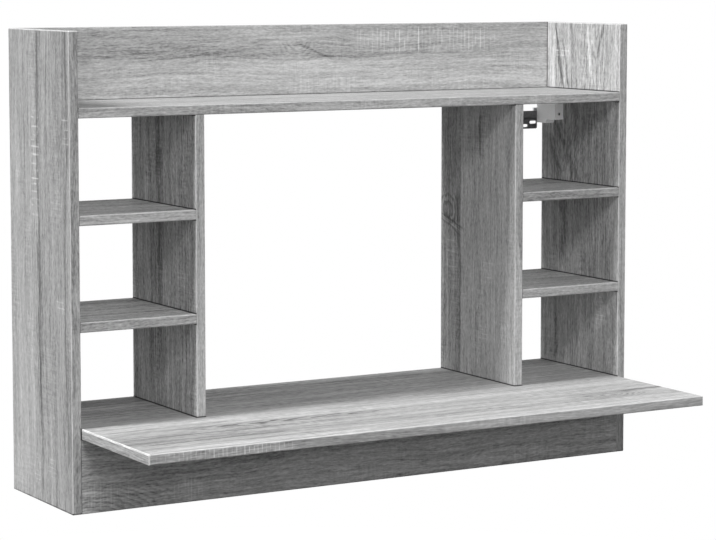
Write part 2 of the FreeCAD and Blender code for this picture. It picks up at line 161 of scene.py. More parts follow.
def streak(tree, along, across, seed, length, width, detail):
    """Noise drawn out along the grain, swinging about zero, with blotches of a length and width in mm."""
    place = join(tree, calc(tree, "DIVIDE", along, length), calc(tree, "DIVIDE", across, width), seed)
    return calc(tree, "SUBTRACT", speckle(tree, place, detail), NOISE_MIDDLE)


def new_group(name, inputs, outputs):
    """An empty node group with named number and vector sockets; gives its tree, start and end."""
    tree = bpy.data.node_groups.new(name, "ShaderNodeTree")
    kinds = {"number": "NodeSocketFloat", "vector": "NodeSocketVector"}
    for socket, kind in inputs.items():
        tree.interface.new_socket(socket, in_out="INPUT", socket_type=kinds[kind])
    for socket, kind in outputs.items():
        tree.interface.new_socket(socket, in_out="OUTPUT", socket_type=kinds[kind])
    start = tree.nodes.new("NodeGroupInput")
    end = tree.nodes.new("NodeGroupOutput")
    return tree, start.outputs, end.inputs


def use_group(tree, group, **terms):
    """Place a node group, feed its inputs by name, and give its outputs."""
    node = tree.nodes.new("ShaderNodeGroup")
    node.node_tree = group
    for name, term in terms.items():
        feed(tree, node.inputs[name], term)
    return node.outputs


def seen_rays(tree):
    """1 on rays that show the background to the camera: straight, in a shiny surface or through glass."""
    path = tree.nodes.new("ShaderNodeLightPath").outputs
    mirrored = calc(tree, "MAXIMUM", path["Is Glossy Ray"], path["Is Transmission Ray"])
    return calc(tree, "MAXIMUM", path["Is Camera Ray"], mirrored)


print("noise and group helpers ready")

# %% [markdown]
# The studio is white all round. White walls would also throw light into every shaded corner, so the
# world is white only where the camera sees it, and lights the desk with a soft grey. The floor is a
# pale disc at the height of a room's floor below the hung desk. It glows a little less in the middle,
# so the desk's soft shadow shows there, and is full white at its rim, so no edge of it shows.

# %% Studio world and floor
AMBIENT = 0.19
FLOOR_LEVEL = -1.15
FLOOR_RADIUS = 2.2
FLOOR_SIDES = 96
FLOOR_COLOUR = 0.25
FLOOR_BOUNCE = 0.08
FLOOR_GLOW_MIDDLE = 0.8
FLOOR_GLOW_RIM = 1.0

world = bpy.data.worlds.new("studio")
world.use_nodes = True
scene.world = world
world_tree = world.node_tree
background = world_tree.nodes["Background"]
background.inputs["Color"].default_value = (1, 1, 1, 1)
feed(world_tree, background.inputs["Strength"],
     blend(world_tree, seen_rays(world_tree), AMBIENT, 1.0))

bpy.ops.object.select_all(action="DESELECT")
bpy.ops.mesh.primitive_circle_add(vertices=FLOOR_SIDES, radius=FLOOR_RADIUS, fill_type="NGON",
                                  location=(0, 0, FLOOR_LEVEL))
floor = bpy.context.object
floor.name = "floor"
bpy.ops.object.transform_apply(location=True, rotation=False, scale=False)

floor_finish = bpy.data.materials.new("pale floor")
floor_finish.use_nodes = True
floor_tree = floor_finish.node_tree
floor_shader = floor_tree.nodes["Principled BSDF"]
feed(floor_tree, floor_shader.inputs["Base Color"],
     blend(floor_tree, seen_rays(floor_tree), FLOOR_BOUNCE, FLOOR_COLOUR))
floor_shader.inputs["Roughness"].default_value = 1.0
floor_shader.inputs["Specular IOR Level"].default_value = 0.0
floor_shader.inputs["Emission Color"].default_value = (1, 1, 1, 1)
floor_place = floor_tree.nodes.new("ShaderNodeTexCoord").outputs["Object"]
floor_x, floor_y, _ = split(floor_tree, floor_place)
squares = (calc(floor_tree, "POWER", part, 2.0) for part in (floor_x, floor_y))
from_middle = calc(floor_tree, "SQRT", total(floor_tree, *squares))
glow = blend(floor_tree, step_up(floor_tree, from_middle, FLOOR_RADIUS / 2, FLOOR_RADIUS),
             FLOOR_GLOW_MIDDLE, FLOOR_GLOW_RIM)
feed(floor_tree, floor_shader.inputs["Emission Strength"],
     calc(floor_tree, "MULTIPLY", seen_rays(floor_tree), glow))
floor.data.materials.append(floor_finish)
print("floor disc", FLOOR_RADIUS, "m in radius at", FLOOR_LEVEL, "m")

# %% [markdown]
# Four soft boxes light the desk. The main one hangs far up to the left, in line with the front edges
# of the side panels: it brightens the left panel and the desk board in front, and leaves everything
# behind the front edges in the shade of the top shelf. A strip in front, above the camera, draws the
# slanting shadows of the small shelves on the dividers. A far box behind the desk lights its back, for
# views from there, and a weak box by the camera fills the shade. Sun lamps would be simpler, but a
# box's size is what makes a shadow's edge soft. A box's brightness is the light that leaves each square
# metre, so its power is worked out from it.

# %% Soft boxes
FRONT_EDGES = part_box("side_panel_left")[0][1]
AIM_HEIGHT = -0.1


def soft_box(name, place, turn, width, depth, brightness):
    """A soft box at a place, turned by Euler angles, with the same brightness all over."""
    data = bpy.data.lights.new(name, "AREA")
    data.shape = "RECTANGLE"
    data.size = width
    data.size_y = depth
    data.energy = math.pi * width * depth * brightness
    lamp = bpy.data.objects.new(name, data)
    lamp.location = place
    lamp.rotation_euler = turn
    lamp.visible_camera = False
    scene.collection.objects.link(lamp)
    print(name, round(data.energy), "W")


def turn_towards(place, aim):
    """The Euler angles that turn a box at one place to look at another."""
    return (Vector(aim) - Vector(place)).to_track_quat("-Z", "Y").to_euler()


MAIN_LEAN = math.radians(43)
MAIN_REACH = 16.0
MAIN_PLACE = (-MAIN_REACH * math.sin(MAIN_LEAN), FRONT_EDGES,
              AIM_HEIGHT + MAIN_REACH * math.cos(MAIN_LEAN))
soft_box("main_box", MAIN_PLACE, (0, -MAIN_LEAN, 0), width=6.9, depth=2.7, brightness=45.5)

STRIP_RISE = math.radians(35.3)
STRIP_REACH = 4.0
STRIP_LEFT = -1.9
STRIP_RIGHT = -0.1
STRIP_PLACE = ((STRIP_LEFT + STRIP_RIGHT) / 2, FRONT_EDGES - STRIP_REACH * math.cos(STRIP_RISE),
               AIM_HEIGHT + STRIP_REACH * math.sin(STRIP_RISE))
soft_box("front_strip", STRIP_PLACE, (math.pi / 2 - STRIP_RISE, 0, 0),
         width=STRIP_RIGHT - STRIP_LEFT, depth=0.85, brightness=19)

BACK_PLACE = (9.0, 13.0, -1.2)
BACK_AIM = (0, 0, AIM_HEIGHT)
soft_box("back_box", BACK_PLACE, turn_towards(BACK_PLACE, BACK_AIM),
         width=1.6, depth=1.6, brightness=120)

FILL_PLACE = (-2.2, -3.9, 0.3)
FILL_AIM = (0, FRONT_EDGES, -0.2)
soft_box("camera_fill", FILL_PLACE, turn_towards(FILL_PLACE, FILL_AIM),
         width=2.0, depth=1.5, brightness=3.04)

# %% [markdown]
# The boards are chipboard with a printed oak paper. The print runs along each board, and every face
# and edge has its own piece of it. So the first node group asks which face a point lies on, from the
# way the face points, and gives the place along and across the grain there. An image could be wrapped
# on each face instead, but a recipe in nodes has no seams and stays sharp close up.

# %% Group: face of a board
def board_face_group():
    """From a place in mm and a facing, both turned so that x is the grain: the spot on that face."""
    tree, start, end = new_group("board face", {"Place": "vector", "Facing": "vector"},
                                 dict.fromkeys(("Along", "Across", "Face", "Wide"), "number"))
    x, y, z = split(tree, start["Place"])
    facing = split(tree, start["Facing"])
    size_x, size_y, size_z = (calc(tree, "ABSOLUTE", part) for part in facing)
    wide = calc(tree, "GREATER_THAN", size_z, calc(tree, "MAXIMUM", size_x, size_y))
    butt = calc(tree, "GREATER_THAN", size_x, calc(tree, "MAXIMUM", size_y, size_z))
    edge = calc(tree, "SUBTRACT", calc(tree, "SUBTRACT", 1.0, wide), butt)
    feed(tree, end["Along"], blend(tree, butt, x, y))
    feed(tree, end["Across"], blend(tree, wide, z, y))
    # The wide faces are numbers 0 and 1, the long edges 2 and 3, the butt ends 4 and 5.
    back_x, back_y, back_z = (calc(tree, "LESS_THAN", part, 0.0) for part in facing)
    number = total(tree, calc(tree, "MULTIPLY", wide, back_z),
                   calc(tree, "MULTIPLY", edge, calc(tree, "ADD", back_y, 2.0)),
                   calc(tree, "MULTIPLY", butt, calc(tree, "ADD", back_x, 4.0)))
    feed(tree, end["Face"], number)
    feed(tree, end["Wide"], wide)
    return tree


BOARD_FACE = board_face_group()
print("group", BOARD_FACE.name)

# %% [markdown]
# Sawn oak shows long streaks of several widths, which wander slowly, short dark ticks and pores, and in
# places a faint weave of lines across the grain that the saw left. One noise would look like marble, so
# layers of noise are added up, each drawn out to a length along the grain and a width across it, with
# its own share of the tone. The group gives the tone, the wandering line across the grain for the other
# groups to follow, and the pores by themselves for the relief.

# %% Group: oak streaks
STREAKS = {
    "broad": dict(length=700, width=34, detail=1, share=0.4),
    "wide": dict(length=320, width=13, detail=2, share=0.55),
    "middle": dict(length=200, width=6, detail=2, share=0.6),
    "fine": dict(length=55, width=2.6, detail=3, share=1.05),
    "ticks": dict(length=9, width=1.5, detail=2, share=1.15),
    "flecks": dict(length=5, width=3, detail=2, share=0.5),
}
SWAY = 26.0
QUIVER = 4.0
PORES_FROM = 0.11
PORES_FULL = 0.2
PORES_SHARE = -0.15
WEAVE_FULL = 0.16
WEAVE_SHARE = 0.5


def oak_streaks_group():
    """Streaks and ticks of oak: a tone that swings about zero, the wandering line, and the pores."""
    tree, start, end = new_group("oak streaks", dict.fromkeys(("Along", "Across", "Seed"), "number"),
                                 dict.fromkeys(("Tone", "Line", "Pores"), "number"))
    along = start["Along"]
    across = start["Across"]
    seed = start["Seed"]
    sway = calc(tree, "MULTIPLY", streak(tree, along, across, seed, length=240, width=90, detail=1), SWAY)
    quiver = streak(tree, along, across, seed, length=26, width=18, detail=2)
    line = total(tree, across, sway, calc(tree, "MULTIPLY", quiver, QUIVER))
    parts = []
    for layer in STREAKS.values():
        noise = streak(tree, along, line, seed, layer["length"], layer["width"], layer["detail"])
        parts.append(calc(tree, "MULTIPLY", noise, layer["share"]))
    pores = streak(tree, along, line, seed, length=12, width=0.9, detail=1)
    pores = step_up(tree, pores, PORES_FROM, PORES_FULL)
    parts.append(calc(tree, "MULTIPLY", pores, PORES_SHARE))
    patch = streak(tree, along, line, seed, length=110, width=45, detail=1)
    weave = streak(tree, along, line, seed, length=3.2, width=32, detail=1)
    weave = calc(tree, "MULTIPLY", weave, step_up(tree, patch, 0.0, WEAVE_FULL))
    parts.append(calc(tree, "MULTIPLY", weave, WEAVE_SHARE))
    feed(tree, end["Tone"], total(tree, *parts))
    feed(tree, end["Line"], line)
    feed(tree, end["Pores"], pores)
    return tree


OAK_STREAKS = oak_streaks_group()
print("group", OAK_STREAKS.name)

# %% [markdown]
# Where a board is cut near the middle of the log, the year rings show as nested arches, called flames,
# and at a knot they close to ovals. A log is a slim cone, so a ring's height above the cut is its
# distance from the heart line, less a slow slope along the board. Dark bands at even steps of that
# value are the flames. Each place has its own heart, tip and spread, and fades out round them.

# %% Group: year rings
RING_SHAKE = 1.6
BAND_STARTS = (0.25, 0.75)
BAND_ENDS = (1.0, 0.8)
SIDE_FADE = 2.0


def year_rings_group():
    """Arches or ovals of year rings round a heart: 1 on the dark bands, fading out round the spot."""
    names = ("Along", "Line", "Across", "Seed", "Heart", "Tip", "Slope", "Oval", "Ring", "Reach",
             "Spread", "Low", "High")
    tree, start, end = new_group("year rings", dict.fromkeys(names, "number"), {"Mask": "number"})
    off = calc(tree, "SUBTRACT", start["Line"], start["Heart"])
    past = calc(tree, "SUBTRACT", start["Along"], start["Tip"])
    squares = [calc(tree, "POWER", part, 2.0)
               for part in (off, calc(tree, "MULTIPLY", past, start["Oval"]), start["Ring"])]
    arch = calc(tree, "SQRT", total(tree, *squares))
    height = calc(tree, "SUBTRACT", arch, calc(tree, "MULTIPLY", past, start["Slope"]))
    uneven = streak(tree, start["Along"], start["Line"], start["Seed"], length=40, width=10, detail=2)
    uneven = calc(tree, "MULTIPLY", uneven, RING_SHAKE)
    saw = calc(tree, "FRACT", calc(tree, "ADD", calc(tree, "DIVIDE", height, start["Ring"]), uneven))
    band = calc(tree, "MULTIPLY", step_up(tree, saw, *BAND_STARTS), step_up(tree, saw, *BAND_ENDS))
    for distance, limit in ((off, start["Spread"]), (past, start["Reach"])):
        inside = near(tree, calc(tree, "ABSOLUTE", distance), limit)
        band = calc(tree, "MULTIPLY", band, inside)
    band = between(tree, band, start["Across"], start["Low"], start["High"], SIDE_FADE)
    feed(tree, end["Mask"], band)
    return tree


YEAR_RINGS = year_rings_group()
print("group", YEAR_RINGS.name)

# %% [markdown]
# Single veins stand out too: a dark heart line that runs down a panel, or a pale stroke beside it. A
# vein follows the wandering line of the grain, may slant a little, and is stronger in some places. It
# could be drawn as a curve on the board, but the distance from the line of the grain is enough.

# %% Group: vein
VEIN_SWELL = 2.4
VEIN_LEAST = 0.2
VEIN_CORE = 0.2
VEIN_FADE = 25.0


def vein_group():
    """One vein along the grain: 1 on it, between a start and a stop along the board."""
    names = ("Along", "Line", "Seed", "Across", "Slant", "Start", "Stop", "Width")
    tree, start, end = new_group("vein", dict.fromkeys(names, "number"), {"Mask": "number"})
    along = start["Along"]
    middle = calc(tree, "MULTIPLY", calc(tree, "ADD", start["Start"], start["Stop"]), 0.5)
    past = calc(tree, "SUBTRACT", along, middle)
    place = calc(tree, "MULTIPLY_ADD", past, start["Slant"], start["Across"])
    off = calc(tree, "ABSOLUTE", calc(tree, "SUBTRACT", start["Line"], place))
    swell = streak(tree, along, start["Line"], start["Seed"], length=45, width=9, detail=2)
    swell = calc(tree, "MULTIPLY_ADD", swell, VEIN_SWELL, 1.0)
    width = calc(tree, "MULTIPLY", start["Width"], calc(tree, "MAXIMUM", swell, VEIN_LEAST))
    vein = near(tree, off, width, VEIN_CORE)
    feed(tree, end["Mask"], between(tree, vein, along, start["Start"], start["Stop"], VEIN_FADE))
    return tree


VEIN = vein_group()
print("group", VEIN.name)

# %% [markdown]
# The print imitates rough-sawn oak, so it has saw marks: thin pale lines square to the grain, close
# together in some places and absent elsewhere. They are the peaks of a wave along the board, with the
# pitch shaken by noise, each line with its own length and strength, inside a patch that is a little
# pale too.

# %% Group: saw marks
MARK_SHAKE = 1.6
MARK_PEAK = 0.4
MARK_STRENGTH = 0.6
MARK_SWING = 2.4
MARK_GAPS = (-0.2, 0.1)
MARK_FADE = 0.2
PATCH_TONE = 0.15
RAGGED = 1.2
RAGGED_ROW = 7.0


def share_of_way(tree, term, start, end):
    """How far a term has come on the way from a start to an end."""
    return calc(tree, "DIVIDE", calc(tree, "SUBTRACT", term, start), calc(tree, "SUBTRACT", end, start))


def saw_marks_group():
    """Thin pale lines across the grain inside one patch: 1 on the lines, and a little on the patch."""
    names = ("Along", "Across", "Seed", "Start", "Stop", "Low", "High", "Pitch")
    tree, start, end = new_group("saw marks", dict.fromkeys(names, "number"), {"Mask": "number"})
    along = start["Along"]
    across = start["Across"]
    seed = start["Seed"]
    shake = streak(tree, along, across, seed, length=24, width=900, detail=1)
    shake = calc(tree, "MULTIPLY", shake, MARK_SHAKE)
    turns = calc(tree, "ADD", calc(tree, "DIVIDE", along, start["Pitch"]), shake)
    wave = calc(tree, "SINE", calc(tree, "MULTIPLY", turns, 2 * math.pi))
    strength = streak(tree, along, 0.0, seed, length=4, width=40, detail=1)
    strength = calc(tree, "MULTIPLY_ADD", strength, MARK_SWING, MARK_STRENGTH)
    broken = streak(tree, along, across, seed, length=6, width=14, detail=1)
    broken = step_up(tree, broken, *MARK_GAPS)
    lines = calc(tree, "MULTIPLY", step_up(tree, wave, MARK_PEAK, 1.0), broken)
    lines = calc(tree, "MULTIPLY", lines, calc(tree, "MAXIMUM", strength, 0.0))
    lines = calc(tree, "MULTIPLY_ADD", lines, 1 - PATCH_TONE, PATCH_TONE)
    ragged = streak(tree, along, RAGGED_ROW, seed, length=6, width=40, detail=1)
    ragged = calc(tree, "MAXIMUM", calc(tree, "MULTIPLY", ragged, RAGGED), 0.0)
    share_along = share_of_way(tree, along, start["Start"], start["Stop"])
    share_across = share_of_way(tree, across, start["Low"], start["High"])
    for share, low in ((share_along, 0.0), (share_across, ragged)):
        lines = between(tree, lines, share, low, calc(tree, "SUBTRACT", 1.0, low), MARK_FADE)
    feed(tree, end["Mask"], lines)
    return tree


SAW_MARKS = saw_marks_group()
print("group", SAW_MARKS.name)

# %% [markdown]
# Along an edge of a board the paper is wrapped round a small eased corner. That corner catches the light
# on the edges that face it and lies in shade on the edges that face down. So a pale line of painted
# highlight goes on the edges that face the light, and a dark line of painted shade on the edges that face
# down. The group marks one edge of the board's box, named by the two sides that meet there: an edge of
# sides (0, -1, 1) runs along the grain, at the low side across the board and the high side of its
# thickness. A bevel would need a new mesh, and at this size the line is all that shows of it.

# %% Group: edge line
def edge_line_group():
    """1 on a thin line along one edge of a board: place and half size in mm, and the sides that meet."""
    tree, start, end = new_group("edge line", {"Place": "vector", "Half": "vector", "Sides": "vector",
                                               "Width": "number"}, {"Mask": "number"})
    distance = 0.0
    for place, half, side in zip(*(split(tree, start[name]) for name in ("Place", "Half", "Sides"))):
        gap = calc(tree, "SUBTRACT", half, calc(tree, "MULTIPLY", place, side))
        meets = calc(tree, "ABSOLUTE", side)
        distance = calc(tree, "MAXIMUM", distance, calc(tree, "MULTIPLY", gap, meets))
    feed(tree, end["Mask"], near(tree, distance, start["Width"]))
    return tree


EDGE_LINE = edge_line_group()
print("group", EDGE_LINE.name)

# %% [markdown]
# Where one board butts against the face of another, the fine gap between them would lie in shade, so a
# dark line of painted shade goes in the corner. The group knows the other board's box, and marks the
# surface just outside it. It looks at a point a little in front of the surface, so that it finds inner
# corners and passes over joints where the two boards are flush.

# %% Group: joint line
def joint_line_group():
    """1 on a face beside the box of the board that butts against it, all in the first board's mm."""
    tree, start, end = new_group("joint line", {"Place": "vector", "Facing": "vector", "Middle": "vector",
                                                "Half": "vector", "Width": "number"}, {"Mask": "number"})
    distance = 0.0
    parts = (split(tree, start[name]) for name in ("Place", "Facing", "Middle", "Half"))
    for place, facing, middle, half in zip(*parts):
        ahead = calc(tree, "MULTIPLY_ADD", facing, start["Width"], place)
        off = calc(tree, "ABSOLUTE", calc(tree, "SUBTRACT", ahead, middle))
        distance = calc(tree, "MAXIMUM", distance, calc(tree, "SUBTRACT", off, half))
    feed(tree, end["Mask"], near(tree, distance, start["Width"]))
    return tree


JOINT_LINE = joint_line_group()
print("group", JOINT_LINE.name)

# %% [markdown]
# A note of what a board's print shows gives places in millimetres from the board's middle, along and
# across the grain. So each board's own box is turned to lie with its grain along x, and a Mapping node
# turns the Object coordinates and the facing the same way. All the boards are listed, because each
# one's box tells its neighbours where a joint shows.

# %% Places on a board
MM = 1000.0
TURNS = {"upright": (0, math.pi / 2, 0), "level": (0, 0, 0), "rail": (-math.pi / 2, 0, 0)}
BOARDS = ("side_panel_left", "side_panel_right", "divider_left", "divider_right", "top_shelf",
          "desk_board", "upper_shelf_left", "upper_shelf_right", "lower_shelf_left",
          "lower_shelf_right", "back_rail", "front_rail")


def middle_and_half(name, turned):
    """A board's middle and half size in mm, turned so that x is the grain of the board being finished."""
    low, high = (Vector(corner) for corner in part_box(name))
    half = turned @ (high - low) * MM / 2
    return turned @ (low + high) * MM / 2, Vector([abs(part) for part in half])


def board_spot(tree, middle, turn):
    """The place on a board in mm from its middle and the facing, both turned so that x is the grain."""
    source = tree.nodes.new("ShaderNodeTexCoord").outputs
    place = tree.nodes.new("ShaderNodeMapping")
    place.inputs["Rotation"].default_value = turn
    place.inputs["Scale"].default_value = (MM, MM, MM)
    place.inputs["Location"].default_value = -middle
    feed(tree, place.inputs["Vector"], source["Object"])
    facing = tree.nodes.new("ShaderNodeMapping")
    facing.vector_type = "VECTOR"
    facing.inputs["Rotation"].default_value = turn
    feed(tree, facing.inputs["Vector"], source["Normal"])
    return place.outputs["Vector"], facing.outputs["Vector"]


print(len(BOARDS), "boards to finish")

# %% [markdown]
# The tone of a print swings about zero. The strips that lie side by side across a board give it a base,
# rings, veins and saw marks add to it, and a ramp of five greys turns the sum into a colour. One pair of
# greys would do, but the ramp keeps the darkest streaks from going black. The painted highlights and
# painted shade along the edges, and the painted shade in the joints, are drawn over that as lines.

# %% Tones, edges and joints of a board
OAK_LEVELS = (0.10, 0.20, 0.41, 0.62, 0.80)
# The noise that breaks up the painted highlight and painted shade lines along the edges.
EDGE_LIGHT_MEAN = 0.9
EDGE_LIGHT_SWING = 2.4
# The width and dark tint of the painted shade in the joints, and how far apart two boards may be and still
# touch.
JOINT_WIDTH = 2.4
JOINT_TINT = 0.03
TOUCHING = 1.0


def grey(level):
    """A neutral colour."""
    return (level, level, level, 1)


def strip_tones(tree, across, half_width, strips):
    """A tone for each strip across the board, from given places in mm and tones about zero."""
    ramp = tree.nodes.new("ShaderNodeValToRGB")
    stops = ramp.color_ramp.elements
    while len(stops) < len(strips):
        stops.new(1.0)
    for stop, (place, tone) in zip(stops, strips):
        stop.position = place / (2 * half_width) + 0.5
        stop.color = grey(0.5 + tone)
    feed(tree, ramp.inputs["Fac"], calc(tree, "MULTIPLY_ADD", across, 1 / (2 * half_width), 0.5))
    return calc(tree, "SUBTRACT", ramp.outputs["Color"], 0.5)


def notes_tone(tree, group, tone, where, notes, **terms):
    """Add the rings, veins or saw marks of a board's notes to its tone, on the faces where they lie.

    What a note leaves out, such as a slant, is 0.
    """
    for note in notes:
        values = {key.capitalize(): value for key, value in note.items() if key != "tone"}
        mask = use_group(tree, group, **terms, **values)["Mask"]
        tone = calc(tree, "MULTIPLY_ADD", calc(tree, "MULTIPLY", mask, where), note["tone"], tone)
    return tone


def oak_grey(tree, tone):
    """The grey of the print for a tone from -1 to 1."""
    ramp = tree.nodes.new("ShaderNodeValToRGB")
    stops = ramp.color_ramp.elements
    for number in range(1, len(OAK_LEVELS) - 1):
        stops.new(number / (len(OAK_LEVELS) - 1))
    for stop, level in zip(stops, OAK_LEVELS):
        stop.color = grey(level)
    feed(tree, ramp.inputs["Fac"], calc(tree, "MULTIPLY_ADD", tone, 0.5, 0.5))
    return ramp.outputs["Color"]


def edge_lines(tree, level, edges, edge_light_noise, place, half):
    """Draw a line of painted highlight or painted shade along each named edge over the grey, stronger
    where the noise is high.
    """
    for sides, width, tint, strength in edges:
        line = use_group(tree, EDGE_LINE, Place=place, Half=half, Sides=sides, Width=width)
        share = calc(tree, "MULTIPLY", calc(tree, "MULTIPLY", line["Mask"], edge_light_noise), strength)
        level = blend(tree, share, level, tint)
    return level


def joint_shade(tree, name, place, facing, turned):
    """1 beside every board that touches this one."""
    shade = 0.0
    middle, half = middle_and_half(name, turned)
    for other in BOARDS:
        other_middle, other_half = middle_and_half(other, turned)
        gaps = zip(other_middle - middle, other_half + half)
        apart = max(abs(gap) - reach for gap, reach in gaps)
        if other != name and apart < TOUCHING:
            line = use_group(tree, JOINT_LINE, Place=place, Facing=facing, Middle=other_middle - middle,
                             Half=other_half, Width=JOINT_WIDTH)
            shade = calc(tree, "MAXIMUM", shade, line["Mask"])
    return shade


print("tones of the print:", OAK_LEVELS)

# %% [markdown]
# One function finishes a board from its note: which way the board is turned, the tones of its strips,
# and where rings, veins and saw marks lie. A material for each board could be written out by hand, but
# the recipe is the same, and only the note differs. The seed gives every board and every face its own
# piece of the print.

# %% Finish of a board
BOARD_SEED = 11.7
FACE_SEED = 37.3
OAK_ROUGHNESS = 0.66
ROUGHNESS_SWING = -0.12
OAK_GLOSS = 0.15
RELIEF_STRENGTH = 0.5
RELIEF_HEIGHT = 0.0003
PORE_DEPTH = -0.5


def oak_board(name, turn, seed, edges, strips=((-1, 0), (1, 0)), drift=0, grain=1.0, stretch=1.0,
              edge_tone=0, rings=(), veins=(), marks=(), edge_marks=(), joint=0.9):
    """Give one board its printed oak.

    Drift is the tone gained towards the far end of the grain. Grain is the strength of the streaks on the
    two wide faces, and stretch draws the streaks out longer. Rings, veins and marks lie on the wide faces,
    edge marks on the narrow ones.
    """
    finish = bpy.data.materials.new("oak_" + name)
    finish.use_nodes = True
    tree = finish.node_tree
    shader = tree.nodes["Principled BSDF"]
    turned = Euler(TURNS[turn]).to_matrix()
    middle, half = middle_and_half(name, turned)
    place, facing = board_spot(tree, middle, TURNS[turn])
    face = use_group(tree, BOARD_FACE, Place=place, Facing=facing)
    along = face["Along"]
    across = face["Across"]
    wide = face["Wide"]
    narrow = calc(tree, "SUBTRACT", 1.0, wide)
    spot = {"Along": along, "Seed": calc(tree, "MULTIPLY_ADD", face["Face"], FACE_SEED, seed * BOARD_SEED)}
    oak = use_group(tree, OAK_STREAKS, Along=calc(tree, "DIVIDE", along, stretch), Across=across,
                    Seed=spot["Seed"])
    strip = calc(tree, "MULTIPLY_ADD", along, drift / half[0], strip_tones(tree, across, half[1], strips))
    tone = calc(tree, "MULTIPLY_ADD", oak["Tone"], blend(tree, wide, 1.0, grain),
                blend(tree, wide, edge_tone, strip))
    tone = notes_tone(tree, YEAR_RINGS, tone, wide, rings, Line=oak["Line"], Across=across, **spot)
    tone = notes_tone(tree, VEIN, tone, wide, veins, Line=oak["Line"], **spot)
    for patches, where in ((marks, wide), (edge_marks, narrow)):
        tone = notes_tone(tree, SAW_MARKS, tone, where, patches, Across=across, **spot)

    # Painted highlights and painted shade along the named edges, broken up by noise.
    edge_light_noise = streak(tree, along, across, seed, length=30, width=30, detail=2)
    edge_light_noise = calc(tree, "MULTIPLY_ADD", edge_light_noise, EDGE_LIGHT_SWING, EDGE_LIGHT_MEAN)
    level = edge_lines(tree, oak_grey(tree, tone), edges, edge_light_noise, place, half)
    # Painted shade: a dark line beside every board that touches this one, where the gap would lie in
    # shade.
    shade = calc(tree, "MULTIPLY", joint_shade(tree, name, place, facing, turned), joint)
    feed(tree, shader.inputs["Base Color"], blend(tree, shade, level, JOINT_TINT))

    feed(tree, shader.inputs["Roughness"],
         calc(tree, "MULTIPLY_ADD", tone, ROUGHNESS_SWING, OAK_ROUGHNESS))
    shader.inputs["Specular IOR Level"].default_value = OAK_GLOSS
    bump = tree.nodes.new("ShaderNodeBump")
    bump.inputs["Strength"].default_value = RELIEF_STRENGTH
    bump.inputs["Distance"].default_value = RELIEF_HEIGHT
    feed(tree, bump.inputs["Height"], calc(tree, "MULTIPLY_ADD", oak["Pores"], PORE_DEPTH, tone))
    feed(tree, shader.inputs["Normal"], bump.outputs["Normal"])
    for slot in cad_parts[name].material_slots:
        slot.material = finish
    print("oak on", name)


print("board finish ready")

# %% [markdown]
# The side panels and dividers stand with their grain upright. The left panel has a dark heart line that
# wanders from top to bottom, with a row of saw marks beside it. The right-hand boards show rings and
# flames. All four have a painted highlight, a pale line, where the front edge meets the left face, towards
# the light. The side panels also have painted highlights along their top edges and painted shade along
# their bottom edges. Each edge line is written as its sides, its width in mm, its tint and its strength.

# %% Oak on the upright boards
# Tints of the painted highlight and painted shade lines along the edges, and their widths in mm.
PAINTED_HIGHLIGHT = 0.85
PAINTED_SHADE = 0.06
THIN = 2.2
BOLD = 3.2
PANEL_HALF = 112
PANEL_WIDTH = dict(low=-PANEL_HALF, high=PANEL_HALF)
corner_highlight = ((0, -1, 1), THIN, PAINTED_HIGHLIGHT, 0.32)
panel_edges = (corner_highlight, ((1, 0, 1), THIN, PAINTED_HIGHLIGHT, 0.6), ((1, -1, 0), THIN, PAINTED_HIGHLIGHT, 0.6),
               ((-1, 0, 1), BOLD, PAINTED_SHADE, 0.8), ((-1, -1, 0), BOLD, PAINTED_SHADE, 0.8))

oak_board("side_panel_left", "upright", 1, panel_edges, drift=-0.08, grain=0.9, edge_tone=-0.06,
          strips=((-PANEL_HALF, -0.24), (-88, -0.22), (-84, -0.12), (-40, -0.10), (-12, -0.12),
                  (-2, -0.16), (14, -0.04), (60, 0.02), (PANEL_HALF, 0)),
          veins=[dict(across=2, slant=0.01, start=-356, stop=370, width=6, tone=-0.3),
                 dict(across=-96, start=-300, stop=370, width=4, tone=-0.25)],
          rings=[dict(heart=4, tip=-90, slope=0.035, ring=6, reach=190, spread=18, **PANEL_WIDTH,
                      tone=-0.35)],
          marks=[dict(start=45, stop=258, low=-3, high=32, pitch=11, tone=0.8),
                 dict(start=180, stop=235, low=-PANEL_HALF, high=-84, pitch=11, tone=0.6),
                 dict(start=65, stop=135, low=-85, high=-38, pitch=9, tone=0.3),
                 dict(start=-62, stop=-36, low=-97, high=-50, pitch=9, tone=0.6),
                 dict(start=-335, stop=-280, low=0, high=34, pitch=6, tone=0.4),
                 dict(start=-320, stop=-280, low=-58, high=-18, pitch=6, tone=0.4)])
